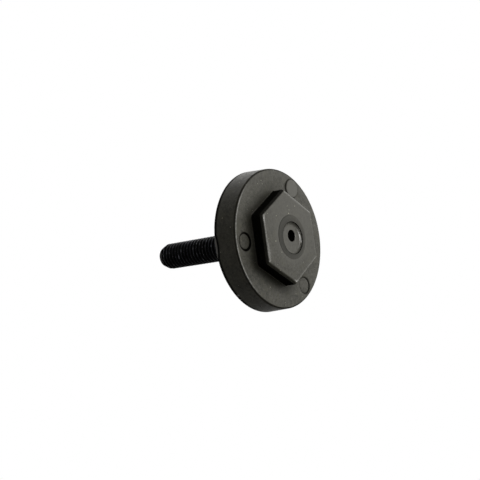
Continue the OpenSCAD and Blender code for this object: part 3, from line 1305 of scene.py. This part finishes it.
@dataclass
class Studio:
    """White studio: camera, soft lamps, a surround that is brighter behind the object, and a floor.

    The camera looks up at the hexagon from under the floor, so the floor shows from above only.

    Attributes:
        aim: The point that the camera looks at, in millimetres.
        azimuth: Where the camera stands round the aim.
        elevation: How high it stands, in degrees.
        roll: How far it is turned about its own line of sight, in degrees.
        distance: How far it stands from the aim, in millimetres.
        view_angle: Its angle of view, in degrees.
        lamp_aim: The point that the lamps look at, in metres.
        glow_from: Azimuth and elevation of the surround's bright half.
        dome: Strength of the light from above.
        glow: Strength of the bright half, apart from reflections, which show it white.
        floor_r: Radius of the floor, in metres.
        floor_drop: How far it lies under the hexagon, in millimetres.
        floor_tone: Its colour.
        lamps: The soft lamps.
    """

    aim: tuple[float, float, float] = (1.31, -0.95, 19.09)
    azimuth: float = -153.005
    elevation: float = -38.890
    roll: float = -99.654
    distance: float = 290.17
    view_angle: float = 27.683
    lamp_aim: tuple[float, float, float] = (0.0, 0.0, 0.015)
    glow_from: Pair = (-8.0, 36.0)
    dome: float = 0.20
    glow: float = 0.46
    floor_r: float = 0.6
    floor_drop: float = 0.05
    floor_tone: Colour = rgb(0.82, 0.82, 0.81)
    lamps: tuple[SoftLamp, ...] = (
        SoftLamp("head_lamp", 12.0, -41.0, 0.5, 0.50, 0.64),
        SoftLamp("edge_lamp", 247.0, -62.0, 0.5, 0.12, 0.07),
        SoftLamp("low_lamp", 30.0, -84.0, 0.5, 0.13, 0.12),
        SoftLamp("back_lamp", -8.0, 38.0, 0.5, 0.35, 0.14),
        SoftLamp("top_lamp", 20.0, 84.0, 0.6, 0.35, 0.8),
    )

    def build(self) -> None:
        """Make the camera, the lamps, the surround and the floor."""
        bpy.context.scene.view_settings.view_transform = "Standard"
        self.add_camera()
        for lamp in self.lamps:
            lamp.place(Vector(self.lamp_aim))
        self.add_surround()
        self.add_floor()

    def add_camera(self) -> None:
        """Place the camera by its aim, its angles and its roll, and make it the scene's."""
        back = direction(self.azimuth, self.elevation)
        level = Vector((0.0, 0.0, 1.0)).cross(back).normalized()
        roll = math.radians(self.roll)
        right = level * math.cos(roll) + back.cross(level) * math.sin(roll)
        turned = Matrix((right, back.cross(right), back)).transposed().to_4x4()
        camera = bpy.data.cameras.new("camera")
        camera.sensor_fit = "HORIZONTAL"
        camera.angle = math.radians(self.view_angle)
        camera.clip_start = 0.01
        camera.clip_end = 20.0
        made = bpy.data.objects.new("camera", camera)
        made.matrix_world = Matrix.Translation((Vector(self.aim) + back * self.distance) * MM) @ turned
        bpy.context.scene.collection.objects.link(made)
        bpy.context.scene.camera = made

    def add_surround(self) -> None:
        """Make the surround: white to the camera, and for light a dim dome with a bright half.

        The bright half rises with the cosine of the angle from where it is brightest, and it is
        white in reflections.
        """
        world = bpy.data.worlds.new("surround")
        world.use_nodes = True
        bpy.context.scene.world = world
        g = Graph(world.node_tree)
        outwards = g.read("ShaderNodeTexCoord", "Generated")
        facing = g.vector_math("DOT_PRODUCT", outwards, direction(*self.glow_from), "Value")
        bright = facing.rise(0.3, 0.95)
        above = g.read("ShaderNodeSeparateXYZ", "Z", inputs={0: outwards}).rise(-0.5, 0.5)
        mirrored = g.read("ShaderNodeLightPath", "Is Glossy Ray")
        level = above * self.dome + bright * (self.glow + mirrored * (1.0 - self.glow - self.dome))
        level = level + g.read("ShaderNodeLightPath", "Is Camera Ray") * (1.0 - level)
        light = g.read("ShaderNodeBackground", inputs={"Color": rgb(1.0, 1.0, 1.0), "Strength": level})
        g.add("ShaderNodeOutputWorld", {"Surface": light})

    def add_floor(self) -> None:
        """Make the pale floor just under the hexagon: a disc that only the camera sees, from above.

        It fades out towards its edge with the distance from the middle.
        """
        turn = np.linspace(0.0, 2 * math.pi, 64, endpoint=False)
        points = np.stack([np.cos(turn), np.sin(turn), 0 * turn], axis=-1) * self.floor_r
        points[:, 2] = -self.floor_drop * MM
        mesh = bpy.data.meshes.new("floor")
        mesh.from_pydata(points.tolist(), [], [list(range(len(points)))])
        material, g = new_material("pale_floor")
        away = g.vector_math("LENGTH", g.place(), (0.0, 0.0, 0.0), "Value")
        seen = g.read("ShaderNodeLightPath", "Is Camera Ray")
        front = 1.0 - g.read("ShaderNodeNewGeometry", "Backfacing")
        fade = away.rise(self.floor_r, self.floor_r * 0.35)
        clear = g.read("ShaderNodeBsdfTransparent")
        pale = g.read("ShaderNodeBsdfDiffuse", inputs={"Color": self.floor_tone})
        shown = g.read("ShaderNodeMixShader", inputs={0: seen * front * fade, 1: clear, 2: pale})
        g.add("ShaderNodeOutputMaterial", {"Surface": shown})
        mesh.materials.append(material)
        floor = bpy.data.objects.new("floor", mesh)
        bpy.context.scene.collection.objects.link(floor)


# ---------------------------------------------------------------- build


def settle(piece: bpy.types.Object, node: Node) -> None:
    """Let a piece ride on the part's one body and stand for its CAD node, whose own mesh is hidden.

    Args:
        piece: The finished piece.
        node: The CAD node that it stands for.
    """
    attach(piece, "root")
    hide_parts(node.value)
    mesh = piece.data
    log.info("%s: %d vertices, %d faces", piece.name, len(mesh.vertices), len(mesh.polygons))


def write_sizes() -> None:
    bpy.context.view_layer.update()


def main() -> None:
    """Build the moulding, the bolt and the studio in order."""
    logging.basicConfig(level=logging.INFO, format="%(name)s: %(message)s")
    _, head_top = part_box(Node.HEAD.value)
    bolt_low, bolt_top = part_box(Node.BOLT.value)
    bolt = ThreadedBolt(head_z=bolt_low.z / MM, tip_z=bolt_top.z / MM)
    head = MouldedHead(bolt, back_z=head_top.z / MM)
    settle(head.build(), Node.HEAD)
    settle(bolt.build(), Node.BOLT)
    Studio().build()
    write_sizes()


if __name__ == "__main__":
    main()
